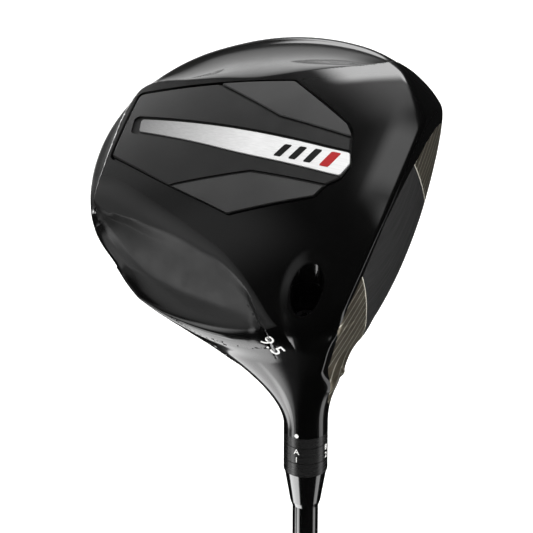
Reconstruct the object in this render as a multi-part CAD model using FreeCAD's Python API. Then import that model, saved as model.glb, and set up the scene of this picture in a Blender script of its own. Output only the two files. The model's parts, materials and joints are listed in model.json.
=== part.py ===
import FreeCAD, Part
import math
import os

# Golf driver, right-handed, standing on its grip cap with the head up.
# Row frame: origin at the centre of the grip's butt end, +Z up the shaft towards the head,
# +X towards the target (the way the club face points), +Y towards the toe side of the sole.
#
# The head is drawn in its own playing frame: x towards the toe, y towards the target, z up from
# level ground, with the origin where the shaft's axis meets the ground.  Everything on the shaft's
# axis is placed by its station, the distance along the axis from that ground point.

# ---- driving dimensions, millimetres and degrees ----
CLUB_LENGTH = 1155.7       # 45.5 inches from the butt to the ground point
LIE = 58.5                 # angle between the shaft and level ground
LOFT = 10.0                # backward lean of the face
WALL = 1.2                 # titanium shell
FACE_THICK = 2.8
CROWN_THICK = 1.2
CROWN_NOTCHES = [(-13.0, -14.0, 24.0), (40.0, -101.0, 9.0)]   # round the neck and the tail weight
FACE_RADIUS = 300.0        # bulge and roll of the face
FACE_CENTRE = (38.0, 14.6, 30.0)
WAIST_HEIGHT = 27.0        # height of the widest line of the head
SKIRT_HEIGHT = 23.0        # where the scooped flanks meet the skirt
HEAD_CENTRE = (38.0, -32.0)

HOSEL_RADIUS = 7.25
HOSEL_BORE = 5.65
HOSEL_TOP = 62.3           # stations along the shaft's axis, from here down to TIP_STATION
WEB_TOP = 30.0             # the web that the adapter screw pulls against
WEB_BOTTOM = 27.0
RING_TOP = 69.05
SLEEVE_TOP = 76.8
SLEEVE_FOOT = 31.0
THREAD_TOP = 40.0
TIP_STATION = 42.1
FERRULE_TOP = 90.6
PORT_LEAD_RADIUS = 5.5     # the low side of the mouth, opened out for the wrench
PORT_LEAD_STEP = 11.0
PORT_MOUTH_RADIUS = 5.2
PORT_RADIUS = 5.0          # the narrower stretch that holds the screw's head
PORT_STEP = 19.5
BARREL_RADIUS = 5.60
SHAFT_BORE = 4.30
SHAFT_TIP_RADIUS = 4.255   # 0.335 inch tip
SHAFT_BUTT_RADIUS = 7.62   # 0.600 inch butt
SHAFT_FOOT = 6.0           # the shaft stands this far above the butt, inside the cap
SHAFT_BUTT_END = 25.0      # height where the taper begins
SHAFT_TIP_START = 110.0    # station where the parallel tip begins
SHAFT_TIP_BORE = 3.0       # inside radii of the shaft's wall
SHAFT_BUTT_BORE = 6.7
TIP_WEIGHT_RADIUS = 2.95
TIP_WEIGHT_LENGTH = 12.0
AXIAL_GAP = 0.05
FIT = 0.05                 # radial clearance of a running fit
FERRULE_FOOT = 6.98        # radii of the ferrule's long taper
FERRULE_WAIST = 5.05
FERRULE_LIP = 0.25         # thickness left at the ferrule's top edge
FERRULE_STEEP = 1.6        # length of its short steep taper
SCREW_RADIUS = 2.45        # M5 adapter screw
SCREW_HEAD_RADIUS = 4.2
SCREW_HEAD_LOW = 20.2      # stations of the screw's head and tip
SCREW_HEAD_HIGH = 24.6
SCREW_TIP = 39.5
SCREW_HEX = 4.0            # across the flats of its socket
RETAINER_LOW = 24.65       # stations of the nylon collar
RETAINER_HIGH = 25.75
WASHER_THICK = 1.2
WASHER_BORE = 2.6
WASHER_RADIUS = 4.9
GROOVE_HALF_WIDTH = 0.12   # index lines round the adapter
GROOVE_DEPTH = 0.15
RING_GROOVE = 66.0
SLEEVE_GROOVE = 71.9
GRIP_LENGTH = 267.0
GRIP_BUTT_RADIUS = 13.3
GRIP_MOUTH_RADIUS = 8.9
CAP_RADIUS = 15.6
VENT_RADIUS = 1.6
TAPE_THICK = 0.2

PANEL_DEPTH = 1.9          # pocket in the sole for the moulded panel
PANEL_SETBACK = 0.35       # panel's face below the sole
PANEL_GAP = 0.4
PANEL_CORNER = 3.0
STRIP_CORNER = 0.8
STRIP_FLOOR = 1.3          # depths below the sole
STRIP_FACE = 0.6
STRIP_GAP = 0.25
FACET_CORNER = 1.0
FACET_FLOOR = 1.1
FACET_FACE = 0.1
FACET_GAP = 0.15
FACET_RIM = 1.3            # rim left between the panel's edge and a facet
RIBS = (-20.0, -42.0, -66.0)    # y of the ribs that stiffen the sole inside
RIB_THICK = 0.8
RIB_HEIGHT = 2.5
LEDGE_OUTER = 2.0          # the shelf inside the skirt that the crown is bonded to
LEDGE_INNER = 9.0
LEDGE_THICK = 1.15
CROWN_GAP = 0.1
CROWN_INSET = 3.0
CROWN_FRONT = 2.0
WEIGHT_CENTRE = (40.0, 31.1)    # x and z of the tail weight, whose axis runs fore and aft
WEIGHT_RADIUS = 3.5
WEIGHT_FRONT = -89.1       # inner end of the weight
WEIGHT_BACK = -98.8        # outer end of the weight
WEIGHT_SCREW_RADIUS = 1.45 # M3 shank
WEIGHT_SCREW_LENGTH = 14.0
WEIGHT_THREAD_DEPTH = 6.1  # of the threaded hole ahead of the weight
WEIGHT_BOSS_WALL = 1.4
WEIGHT_HEAD_RADIUS = 2.25
WEIGHT_HEAD_DEPTH = 2.4
WEIGHT_HEAD_SINK = 0.4
WEIGHT_HEX = 2.0           # across the flats of its socket

SIN_LIE = math.sin(math.radians(LIE))
COS_LIE = math.cos(math.radians(LIE))
V = FreeCAD.Vector

# Widest outline of the head, seen from above; the front stretch lies ahead of the face.
OUTLINE = [(46, -101.5), (30, -100.5), (18, -96.5), (6, -88.5), (-4, -75.5), (-12, -62.5),
           (-18.5, -48), (-23, -34), (-26.5, -20), (-27, -4), (-20, 12), (-5, 24), (15, 30),
           (40, 31), (60, 27), (76, 17), (86, 7), (92.5, -2), (97, -11), (99.5, -20), (100.5, -30),
           (99.5, -43), (96, -57), (91, -69), (84.5, -81), (76, -90), (64, -97.5)]
# Edge of the sole's keel: the tail, the toe crease, a stretch ahead of the face, the heel ridge.
KEEL = [(58, -92.5), (38, -91), (16, -89), (11, -78), (6, -64), (1, -50), (-4, -38), (-10, -28),
        (-18, -20), (-30, -14), (-40, 0), (-30, 30), (0, 50), (40, 55), (80, 50), (97, 22),
        (93, 8), (86, -6), (82, -22), (76, -36), (70.5, -54), (65.5, -75)]
PANEL = [(58.5, -90.2), (63.5, -63), (68.4, -32), (53.6, -6), (50, -3), (37.8, 1.1), (31.5, -0.9),
         (28.4, -4.7), (23.8, -7.1), (12.6, -35.5), (21, -64), (30.8, -89.5)]
STRIP = [(46.8, -83.5), (45.7, -60), (44.8, -43), (42.6, -8.6), (42.5, -1.5), (38.4, 0),
         (33.4, -1.9), (33.4, -5.1), (35.4, -39), (38.3, -59), (41.4, -82)]
TOE_FACET = [(64, -63.5), (56.2, -44), (51, -31), (48.3, -11), (47.2, -1), (55, -5), (70, -33)]
HEEL_FACET = [(20.5, -64.5), (29.8, -32.6), (29.4, -2), (22, -5), (11, -35.5)]
FACE_OUTLINE = [(-14, 38), (-13.5, 27), (-8, 19.5), (2, 14.2), (14, 11), (28, 9.2), (42, 9.2),
                (52, 12), (62, 17.8), (70, 24), (76.5, 31.5), (79, 39), (75, 45.5), (64, 49),
                (50, 51), (34, 51.6), (16, 50), (0, 46.5)]


# ---- placing ----
def head_placement():
    """From the head's playing frame to the row frame."""
    turn = FreeCAD.Matrix(0, 1, 0, 0,
                          SIN_LIE, 0, COS_LIE, 0,
                          COS_LIE, 0, -SIN_LIE, CLUB_LENGTH,
                          0, 0, 0, 1)
    return FreeCAD.Placement(turn)


def axis_point(station):
    """Point of the shaft's axis, in the head's frame."""
    return V(-COS_LIE * station, 0, SIN_LIE * station)


AXIS = V(-COS_LIE, 0, SIN_LIE)


def save(shape, name):
    """Write one node and print its volume."""
    if len(shape.Solids) != 1 or not shape.isValid():
        print("CHECK", name, "solids", len(shape.Solids), "valid", shape.isValid())
    shape.exportStep(os.path.join("parts", name + ".step"))
    print("%-16s %10.1f mm3" % (name, shape.Volume))


def save_head_piece(shape, name):
    """Write one node drawn in the head's frame."""
    piece = shape.Solids[0].copy() if len(shape.Solids) == 1 else shape.copy()
    piece.Placement = head_placement().multiply(piece.Placement)
    save(piece, name)


# ---- the head's surfaces ----
def closed_radius(points):
    """Radius about HEAD_CENTRE, by angle, of a smooth closed curve through the points."""
    polar = sorted((math.atan2(y - HEAD_CENTRE[1], x - HEAD_CENTRE[0]),
                    math.hypot(x - HEAD_CENTRE[0], y - HEAD_CENTRE[1])) for x, y in points)
    count = len(polar)
    full = 2 * math.pi

    def knot(i):
        return polar[i % count][0] + full * (i // count), polar[i % count][1]

    def slope(i):
        (a0, r0), (a1, r1) = knot(i - 1), knot(i + 1)
        return (r1 - r0) / (a1 - a0)

    def radius(angle):
        angle = (angle - polar[0][0]) % full + polar[0][0]
        i = max(k for k in range(count) if knot(k)[0] <= angle)
        (a0, r0), (a1, r1) = knot(i), knot(i + 1)
        span = a1 - a0
        t = (angle - a0) / span
        return ((2 * t**3 - 3 * t**2 + 1) * r0 + (t**3 - 2 * t**2 + t) * span * slope(i)
                + (3 * t**2 - 2 * t**3) * r1 + (t**3 - t**2) * span * slope(i + 1))

    return radius


outline_radius = closed_radius(OUTLINE)
keel_radius = closed_radius(KEEL)


def smooth_max(a, b, blend):
    """Larger of two values, with the corner rounded over the blend width."""
    h = min(max(0.5 + 0.5 * (a - b) / blend, 0.0), 1.0)
    return b * (1 - h) + a * h + blend * h * (1 - h)


def polar(x, y):
    """Angle and distance about the head's centre."""
    return (math.atan2(y - HEAD_CENTRE[1], x - HEAD_CENTRE[0]),
            math.hypot(x - HEAD_CENTRE[0], y - HEAD_CENTRE[1]))


def keel_height(x, y):
    """The sole's keel, cambered both ways from its lowest point."""
    return (y + 4.0)**2 / 470.0 + (x - 42.0)**2 / 250.0


def flank_height(x, y):
    """The scooped flank that climbs from the keel's edge to the skirt."""
    angle, r = polar(x, y)
    inner, outer = keel_radius(angle), outline_radius(angle)
    if outer - inner < 1.0:
        return -50.0
    foot = keel_height(HEAD_CENTRE[0] + inner * math.cos(angle),
                       HEAD_CENTRE[1] + inner * math.sin(angle))
    t = (r - inner) / max(outer - inner, 6.0)
    rise = 1 - (1 - min(t, 1.0))**1.7 if t > 0 else 1.7 * t
    return foot + (SKIRT_HEIGHT - foot) * rise


def sole_height(x, y):
    """Underside of the head."""
    return smooth_max(keel_height(x, y), flank_height(x, y), 4.0)


def crown_height(x, y):
    """Top of the head, highest just behind the face and falling to the skirt."""
    angle, r = polar(x, y)
    inside = smooth_max(1 - (r / outline_radius(angle))**2.4, 0.03, 0.05)
    rise = 33.0 + 0.12 * (y - HEAD_CENTRE[1]) - 0.06 * max(0.0, x - HEAD_CENTRE[0])
    return WAIST_HEIGHT + rise * inside**0.66


def height_face(height):
    """Smooth face through a square net of heights over the head's plan."""
    spacing = 4.0
    xs = [-60 + spacing * i for i in range(44)]
    ys = [-116 + spacing * i for i in range(41)]
    surface = Part.BSplineSurface()
    surface.interpolate([[V(x, y, height(x, y)) for y in ys] for x in xs])
    return surface.toShape()


SOLE_FACE = height_face(sole_height)
CROWN_FACE = height_face(crown_height)


def above_sole(offset):
    """Everything above the sole raised by the offset."""
    return SOLE_FACE.translated(V(0, 0, offset)).extrude(V(0, 0, 150))


def below_sole(offset):
    """Everything below the sole raised by the offset."""
    return SOLE_FACE.translated(V(0, 0, offset)).extrude(V(0, 0, -60))


def below_crown(offset):
    """Everything below the crown lowered by the offset."""
    return CROWN_FACE.translated(V(0, 0, -offset)).extrude(V(0, 0, -150))


# ---- outlines ----
def outline_prism(inset):
    """Upright prism of the head's plan outline, drawn in by the inset."""
    samples = 72
    points = []
    for i in range(samples):
        angle = 2 * math.pi * i / samples
        r = outline_radius(angle) - inset
        points.append(V(HEAD_CENTRE[0] + r * math.cos(angle), HEAD_CENTRE[1] + r * math.sin(angle), -20))
    curve = Part.BSplineCurve()
    curve.interpolate(Points=points, PeriodicFlag=True)
    return Part.Face(Part.Wire(curve.toShape())).extrude(V(0, 0, 110))


def rounded_wire(points, radius):
    """Closed outline of straight runs with rounded corners, at z = -20."""
    edges = []
    count = len(points)
    corners = []
    for i in range(count):
        before, here, after = (V(*points[(i + k) % count], -20) for k in (-1, 0, 1))
        back, ahead = (before - here).normalize(), (after - here).normalize()
        half = back.getAngle(ahead) / 2
        if half > math.radians(86):
            corners.append((here, None, here))
            continue
        reach = min(radius / math.tan(half), 0.4 * (before - here).Length, 0.4 * (after - here).Length)
        start, end = here + back * reach, here + ahead * reach
        bisector = (back + ahead).normalize()
        bow = reach * math.tan(half)
        middle = here + bisector * (math.hypot(reach, bow) - bow)
        corners.append((start, middle, end))
    for i in range(count):
        start, middle, end = corners[i]
        if middle is not None:
            edges.append(Part.Arc(start, middle, end).toShape())
        edges.append(Part.LineSegment(end, corners[(i + 1) % count][0]).toShape())
    return Part.Wire(edges)


def outline_zone(points, radius, inset):
    """Upright prism of a rounded outline, drawn in by the inset (grown if negative)."""
    wire = rounded_wire(points, radius)
    if inset:
        wire = wire.makeOffset2D(-inset)
    return Part.Face(wire).extrude(V(0, 0, 70))


def head_form(inset):
    """Outer form of the head without its hosel, drawn in by the inset."""
    ball_centre = (V(*FACE_CENTRE)
                   - V(0, math.cos(math.radians(LOFT)), math.sin(math.radians(LOFT))) * FACE_RADIUS)
    form = outline_prism(inset).common(above_sole(inset)).common(below_crown(inset))
    return form.common(Part.makeSphere(FACE_RADIUS - inset, ball_centre))


def face_slab():
    """The forged face: a piece of a spherical shell inside the face's outline."""
    lean = V(0, math.cos(math.radians(LOFT)), math.sin(math.radians(LOFT)))
    ball_centre = V(*FACE_CENTRE) - lean * FACE_RADIUS
    curve = Part.BSplineCurve()
    curve.interpolate(Points=[V(x, -5, z) for x, z in FACE_OUTLINE], PeriodicFlag=True)
    zone = Part.Face(Part.Wire(curve.toShape())).extrude(V(0, 40, 0))
    shell = Part.makeSphere(FACE_RADIUS, ball_centre)
    return zone.common(shell).cut(Part.makeSphere(FACE_RADIUS - FACE_THICK, ball_centre))


# ---- the hosel, in the head's frame ----
def along_axis(radius, low, high):
    """Cylinder on the shaft's axis between two stations."""
    return Part.makeCylinder(radius, high - low, axis_point(low), AXIS)


def neck():
    """Flare that carries the hosel into the heel of the head."""
    top, foot = axis_point(60), V(-7, -24, 27)
    sections = []
    for t in (0.0, 0.2, 0.45, 0.7, 1.0):
        centre = top + (foot - top) * t
        direction = AXIS * (1 - t) + (top - foot).normalize() * t
        radius = 7.0 + 9.0 * t**1.3
        sections.append(Part.Wire(Part.makeCircle(radius, centre, direction)))
    return Part.makeLoft(sections, True)


def tail_cylinder(radius, back, front):
    """Cylinder on the tail weight's axis, which runs fore and aft."""
    x, z = WEIGHT_CENTRE
    return Part.makeCylinder(radius, front - back, V(x, back, z), V(0, 1, 0))


# ---- head pieces ----
def crown_zone(inset):
    """Plan of the separate crown shell, kept behind the face and clear of the hosel and weight."""
    ahead = Part.makeBox(260, 100, 200, V(-100, CROWN_FRONT - inset, -50))
    zone = outline_prism(CROWN_INSET + inset).cut(ahead)
    for x, y, radius in CROWN_NOTCHES:
        zone = zone.cut(Part.makeCylinder(radius + inset, 200, V(x, y, -50)))
    return zone


def make_crown():
    form = head_form(0)
    return form.common(crown_zone(CROWN_GAP)).cut(below_crown(CROWN_THICK))


def make_body():
    hosel = along_axis(HOSEL_RADIUS, 2, HOSEL_TOP).fuse(neck()).common(above_sole(0))
    outer = head_form(0).fuse(hosel)

    inner = head_form(WALL)
    pad = outline_zone(PANEL, PANEL_CORNER, -2.0).common(below_sole(PANEL_DEPTH + 1.1))
    boss = tail_cylinder(WEIGHT_RADIUS + WEIGHT_BOSS_WALL, WEIGHT_BACK - 4, WEIGHT_FRONT + 7.1)
    tube = along_axis(HOSEL_RADIUS, 2, HOSEL_TOP)
    inner = inner.cut(pad).cut(boss).cut(tube)

    rib_space = head_form(WALL).common(below_sole(WALL + RIB_HEIGHT))
    for y in RIBS:
        rib = rib_space.common(Part.makeBox(150, RIB_THICK, 60, V(-40, y, -10)))
        inner = inner.cut(rib)
    ledge_top = CROWN_THICK + AXIAL_GAP
    ledge = outline_prism(LEDGE_OUTER).cut(outline_prism(LEDGE_INNER)).common(below_crown(ledge_top))
    ledge = ledge.cut(below_crown(ledge_top + LEDGE_THICK)).common(head_form(WALL))
    ledge = ledge.cut(Part.makeBox(260, 100, 200, V(-100, 0, -50)))
    inner = inner.cut(ledge)

    body = outer.cut(inner)
    opening = crown_zone(0).cut(below_crown(CROWN_THICK))
    body = body.cut(opening).cut(face_slab())
    body = body.cut(outline_zone(PANEL, PANEL_CORNER, 0).common(below_sole(PANEL_DEPTH)))
    body = body.cut(along_axis(PORT_LEAD_RADIUS, 0, PORT_LEAD_STEP))
    body = body.cut(along_axis(PORT_MOUTH_RADIUS, 0, PORT_STEP))
    body = body.cut(along_axis(PORT_RADIUS, 0, WEB_BOTTOM))
    body = body.cut(along_axis(SCREW_RADIUS + 0.3, 0, WEB_TOP + 1))
    body = body.cut(along_axis(HOSEL_BORE, WEB_TOP, HOSEL_TOP + 5))
    body = body.cut(tail_cylinder(WEIGHT_RADIUS + FIT, -110, WEIGHT_FRONT))
    body = body.cut(tail_cylinder(WEIGHT_SCREW_RADIUS + FIT, -110, WEIGHT_FRONT + WEIGHT_THREAD_DEPTH))
    return body


def sole_layer(points, radius, inset, low, high):
    """Sheet that follows the sole between two depths, inside a rounded outline."""
    zone = outline_zone(points, radius, inset)
    return zone.common(above_sole(low)).common(below_sole(high))


def make_panel():
    panel = sole_layer(PANEL, PANEL_CORNER, PANEL_GAP, PANEL_SETBACK, PANEL_DEPTH)
    panel = panel.cut(sole_layer(STRIP, STRIP_CORNER, 0, -1.0, STRIP_FLOOR))
    rim = outline_zone(PANEL, PANEL_CORNER, FACET_RIM)
    for facet in (TOE_FACET, HEEL_FACET):
        panel = panel.cut(sole_layer(facet, FACET_CORNER, 0, -1.0, FACET_FLOOR).common(rim))
    return panel


def make_inlay(facet):
    rim = outline_zone(PANEL, PANEL_CORNER, FACET_RIM + FACET_GAP)
    return sole_layer(facet, FACET_CORNER, FACET_GAP, FACET_FACE, FACET_FLOOR).common(rim)


def make_strip():
    return sole_layer(STRIP, STRIP_CORNER, STRIP_GAP, STRIP_FACE, STRIP_FLOOR)


def make_tail_weight():
    weight = tail_cylinder(WEIGHT_RADIUS, WEIGHT_BACK, WEIGHT_FRONT)
    head_seat = WEIGHT_BACK + WEIGHT_HEAD_SINK + WEIGHT_HEAD_DEPTH
    weight = weight.cut(tail_cylinder(WEIGHT_HEAD_RADIUS + FIT, WEIGHT_BACK - 1, head_seat + AXIAL_GAP))
    return weight.cut(tail_cylinder(WEIGHT_SCREW_RADIUS + FIT, WEIGHT_BACK - 1, WEIGHT_FRONT + 1))


def hex_socket(across_flats, depth):
    """Hexagonal recess, from z = 0 up."""
    reach = across_flats / math.sqrt(3)
    corners = [V(reach * math.cos(math.radians(60 * i)), reach * math.sin(math.radians(60 * i)), 0)
               for i in range(7)]
    return Part.Face(Part.makePolygon(corners)).extrude(V(0, 0, depth))


def make_weight_screw():
    """Socket screw, drawn along +z with its head at z = 0, then laid along the weight's axis."""
    head = Part.makeCylinder(WEIGHT_HEAD_RADIUS, WEIGHT_HEAD_DEPTH)
    head = head.makeChamfer(0.3, [edge for edge in head.Edges if edge.BoundBox.ZMax < 0.1])
    shank = Part.makeCylinder(WEIGHT_SCREW_RADIUS, WEIGHT_SCREW_LENGTH)
    screw = head.fuse(shank).cut(hex_socket(WEIGHT_HEX, 1.4))
    x, z = WEIGHT_CENTRE
    start = V(x, WEIGHT_BACK + WEIGHT_HEAD_SINK, z)
    screw.Placement = FreeCAD.Placement(start, FreeCAD.Rotation(V(1, 0, 0), -90))
    return screw


# ---- pieces on the shaft's axis, in the row frame ----
def turned(profile):
    """Solid of revolution about Z from closed (radius, height) points."""
    points = [V(r, 0, z) for r, z in profile]
    return Part.Face(Part.makePolygon(points + points[:1])).revolve(V(0, 0, 0), V(0, 0, 1), 360)


def station(s):
    """Height in the row frame of a station on the axis."""
    return CLUB_LENGTH - s


def barrel(radius, low, high):
    """Cylinder between two stations, in the row frame."""
    return Part.makeCylinder(radius, high - low, V(0, 0, station(high)))


def grooved(shape, radius, at):
    """Cut a shallow index line round a barrel."""
    band = barrel(radius + 1, at - GROOVE_HALF_WIDTH, at + GROOVE_HALF_WIDTH)
    band = band.cut(barrel(radius - GROOVE_DEPTH, at - 1, at + 1))
    return shape.cut(band)


def make_adapter_screw():
    head = barrel(SCREW_HEAD_RADIUS, SCREW_HEAD_LOW, SCREW_HEAD_HIGH)
    end = station(SCREW_HEAD_LOW)
    outer_rim = [edge for edge in head.Edges if abs(edge.BoundBox.ZMin - end) < 0.01]
    head = head.makeChamfer(0.4, outer_rim)
    socket_depth = 3.0
    socket = hex_socket(SCREW_HEX, socket_depth)
    socket.translate(V(0, 0, station(SCREW_HEAD_LOW) - socket_depth))
    return head.fuse(barrel(SCREW_RADIUS, SCREW_HEAD_LOW + 1, SCREW_TIP)).cut(socket)


def make_screw_washer():
    """Seat washer on the web, with its face to the screw hollowed."""
    low, high = WEB_BOTTOM - WASHER_THICK, WEB_BOTTOM - AXIAL_GAP
    return turned([(WASHER_BORE, station(high)), (WASHER_RADIUS, station(high)),
                   (WASHER_RADIUS, station(low) - 0.3), (WASHER_RADIUS - 0.25, station(low)),
                   (WASHER_BORE + 0.6, station(low)), (WASHER_BORE, station(low) - 0.3)])


def make_screw_retainer():
    """Nylon collar on the screw's shank that rubs on the port wall and keeps the screw captive."""
    collar = barrel(PORT_RADIUS - FIT, RETAINER_LOW, RETAINER_HIGH)
    return collar.cut(barrel(SCREW_RADIUS + FIT, RETAINER_LOW - 1, RETAINER_HIGH + 1))


def make_adapter_ring():
    """Lettered ring between the hosel and the sleeve."""
    ring = barrel(HOSEL_RADIUS, HOSEL_TOP + AXIAL_GAP, RING_TOP).cut(barrel(HOSEL_BORE, 50, 80))
    return grooved(ring, HOSEL_RADIUS, RING_GROOVE)


def make_adapter_sleeve():
    """Numbered sleeve: its barrel sits in the hosel and its bore holds the shaft."""
    collar = grooved(barrel(HOSEL_RADIUS, RING_TOP + AXIAL_GAP, SLEEVE_TOP), HOSEL_RADIUS, SLEEVE_GROOVE)
    sleeve = collar.fuse(barrel(BARREL_RADIUS, SLEEVE_FOOT, SLEEVE_TOP))
    sleeve = sleeve.cut(barrel(SHAFT_BORE, TIP_STATION - 0.1, SLEEVE_TOP + 1))
    return sleeve.cut(barrel(SCREW_RADIUS + FIT, SLEEVE_FOOT - 1, THREAD_TOP))


def make_ferrule():
    """Glossy plastic collar: a long straight taper and a short steep one onto the shaft."""
    low, high = SLEEVE_TOP + AXIAL_GAP, FERRULE_TOP
    inner = SHAFT_BORE
    return turned([(inner, station(low)), (FERRULE_FOOT, station(low)),
                   (FERRULE_WAIST, station(high - FERRULE_STEEP)),
                   (inner + FERRULE_LIP, station(high)), (inner, station(high))])


def shaft_radius(z):
    """Outside radius of the shaft at a height in the row frame."""
    share = min(max((z - SHAFT_BUTT_END) / (station(SHAFT_TIP_START) - SHAFT_BUTT_END), 0.0), 1.0)
    return SHAFT_BUTT_RADIUS + (SHAFT_TIP_RADIUS - SHAFT_BUTT_RADIUS) * share


def make_shaft():
    tip = station(TIP_STATION)
    outside = [(shaft_radius(z), z) for z in (SHAFT_FOOT, SHAFT_BUTT_END, station(SHAFT_TIP_START), tip)]
    inside = [(SHAFT_TIP_BORE, tip), (SHAFT_TIP_BORE, station(SHAFT_TIP_START)),
              (SHAFT_BUTT_BORE, SHAFT_BUTT_END), (SHAFT_BUTT_BORE, SHAFT_FOOT)]
    return turned(outside + inside)


def make_tip_weight():
    """Plug in the shaft's tip that sets the club's swing weight."""
    return barrel(TIP_WEIGHT_RADIUS, TIP_STATION + 1, TIP_STATION + 1 + TIP_WEIGHT_LENGTH)


def make_grip_tape():
    low, high = SHAFT_FOOT + 2, GRIP_LENGTH - 6
    inside = [(shaft_radius(z) + 0.02, z) for z in (low, SHAFT_BUTT_END, high)]
    outside = [(shaft_radius(z) + TAPE_THICK, z) for z in (high, SHAFT_BUTT_END, low)]
    return turned(inside + outside)


def make_grip():
    """Rubber sleeve, thick at the butt and thin at the mouth."""
    low, high = SHAFT_FOOT + 0.02, GRIP_LENGTH
    clearance = TAPE_THICK + 0.03
    bore = [(shaft_radius(z) + clearance, z) for z in (low, SHAFT_BUTT_END, high)]
    skin = [(GRIP_MOUTH_RADIUS - 0.5, high), (GRIP_MOUTH_RADIUS, high - 1.0),
            (GRIP_MOUTH_RADIUS + 0.15, high - 6.0), (10.4, 170.0), (11.8, 90.0),
            (GRIP_BUTT_RADIUS, 22.0), (GRIP_BUTT_RADIUS + 0.9, low)]
    return turned(bore + skin)


def make_grip_cap():
    """End cap with a vent hole through its middle."""
    top = SHAFT_FOOT
    return turned([(VENT_RADIUS, 0), (12.6, 0), (14.8, 1.1), (CAP_RADIUS, 3.0), (15.2, 4.8),
                   (GRIP_BUTT_RADIUS + 0.9, top), (VENT_RADIUS, top)])


# ---- write every node ----
os.makedirs("parts", exist_ok=True)

save_head_piece(make_body(), "head_body")
save_head_piece(face_slab(), "face_plate")
save_head_piece(make_crown(), "crown_shell")
save_head_piece(make_panel(), "sole_panel")
save_head_piece(make_inlay(TOE_FACET), "toe_inlay")
save_head_piece(make_inlay(HEEL_FACET), "heel_inlay")
save_head_piece(make_strip(), "badge_strip")
save_head_piece(make_tail_weight(), "tail_weight")
save_head_piece(make_weight_screw(), "weight_screw")

save(make_adapter_screw(), "adapter_screw")
save(make_screw_washer(), "screw_washer")
save(make_screw_retainer(), "screw_retainer")
save(make_adapter_ring(), "adapter_ring")
save(make_adapter_sleeve(), "adapter_sleeve")
save(make_ferrule(), "ferrule")
save(make_shaft(), "shaft")
save(make_tip_weight(), "tip_weight")
save(make_grip_tape(), "grip_tape")
save(make_grip(), "grip")
save(make_grip_cap(), "grip_cap")
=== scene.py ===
import json
import math

import bmesh
import bpy
import numpy as np
import openvdb
from mathutils import Matrix, Vector
from mathutils.geometry import delaunay_2d_cdt


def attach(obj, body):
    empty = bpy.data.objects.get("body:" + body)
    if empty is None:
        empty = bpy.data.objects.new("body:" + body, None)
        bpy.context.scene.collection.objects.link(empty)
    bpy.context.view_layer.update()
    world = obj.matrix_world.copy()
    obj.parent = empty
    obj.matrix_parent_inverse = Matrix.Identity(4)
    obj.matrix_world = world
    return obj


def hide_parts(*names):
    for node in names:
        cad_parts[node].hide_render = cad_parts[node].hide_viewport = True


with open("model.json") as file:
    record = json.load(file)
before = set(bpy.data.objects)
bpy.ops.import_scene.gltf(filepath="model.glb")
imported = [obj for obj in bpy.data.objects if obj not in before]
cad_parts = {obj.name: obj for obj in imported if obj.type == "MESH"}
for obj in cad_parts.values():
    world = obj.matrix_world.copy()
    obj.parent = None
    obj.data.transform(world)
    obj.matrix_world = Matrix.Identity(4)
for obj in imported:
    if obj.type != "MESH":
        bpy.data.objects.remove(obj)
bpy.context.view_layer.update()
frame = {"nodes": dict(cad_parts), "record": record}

# Golf driver standing on its grip cap, head up.  The head is drawn in its playing frame, in
# millimetres: x towards the toe, y towards the target, z up from level ground, with the origin
# where the shaft's axis meets the ground.  to_row() carries it into the model's frame, in metres.

MM = 0.001
CLUB_LENGTH = 1155.7
LIE = math.radians(58.5)
LOFT = math.radians(10.0)
SIN_LIE, COS_LIE = math.sin(LIE), math.cos(LIE)

FACE_RADIUS = 300.0
FACE_CENTRE = np.array([38.0, 14.6, 30.0])
FACE_LEAN = np.array([0.0, math.cos(LOFT), math.sin(LOFT)])
BALL_CENTRE = FACE_CENTRE - FACE_LEAN * FACE_RADIUS
FACE_THICK = 2.8
WAIST_HEIGHT = 27.0
SKIRT_HEIGHT = 23.0
ROLL_REACH = 12.0          # the leading edge rolls up over this far
ROLL_RISE = 1.2
TUCK = 9.0                 # how far the wall leans in below the waist
HEAD_CENTRE = (38.0, -32.0)
# edges of the leaf on the heel's flank: height in its middle, how far back that middle lies,
# and how strongly the edge bends behind and ahead of it
LEAF_LOW = (9.6, 36.0, 0.0029, 0.0078)
LEAF_HIGH = (22.2, 55.0, -0.0015, -0.0033)
LEAF_END = 24.0
LEAF_DEPTH = 0.15

HOSEL_RADIUS = 7.25
HOSEL_BORE = 5.65
HOSEL_TOP = 62.3           # stations along the shaft's axis
NECK_TOP = 60.0            # below this the hosel opens out into the heel
WEB_TOP = 30.0
WEB_BOTTOM = 27.0
PORT_MOUTH_RADIUS = 5.2
PORT_LEAD_RADIUS = 5.5     # the low side of the mouth, opened out
PORT_LEAD_STEP = 11.0
PORT_STEP = 19.5
PORT_RADIUS = 5.0          # the narrower stretch that holds the screw's head
SHANK_HOLE = 2.75
AXIS = np.array([-COS_LIE, 0.0, SIN_LIE])

PANEL_DEPTH = 1.9
WEIGHT_CENTRE = (40.0, 31.1)
WEIGHT_RADIUS = 3.5
WEIGHT_FRONT = -89.1
SKIN_VOXEL = 0.45          # net spacing of the head's skin
SEAM = 0.12                # gap round the crown and the face
CROWN_THICK = 1.2
CROWN_INSET = 3.0
CROWN_FRONT = 2.0
CROWN_NOTCHES = [(-13.0, -14.0, 24.0), (40.0, -101.0, 9.0)]   # round the hosel and the tail weight

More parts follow.
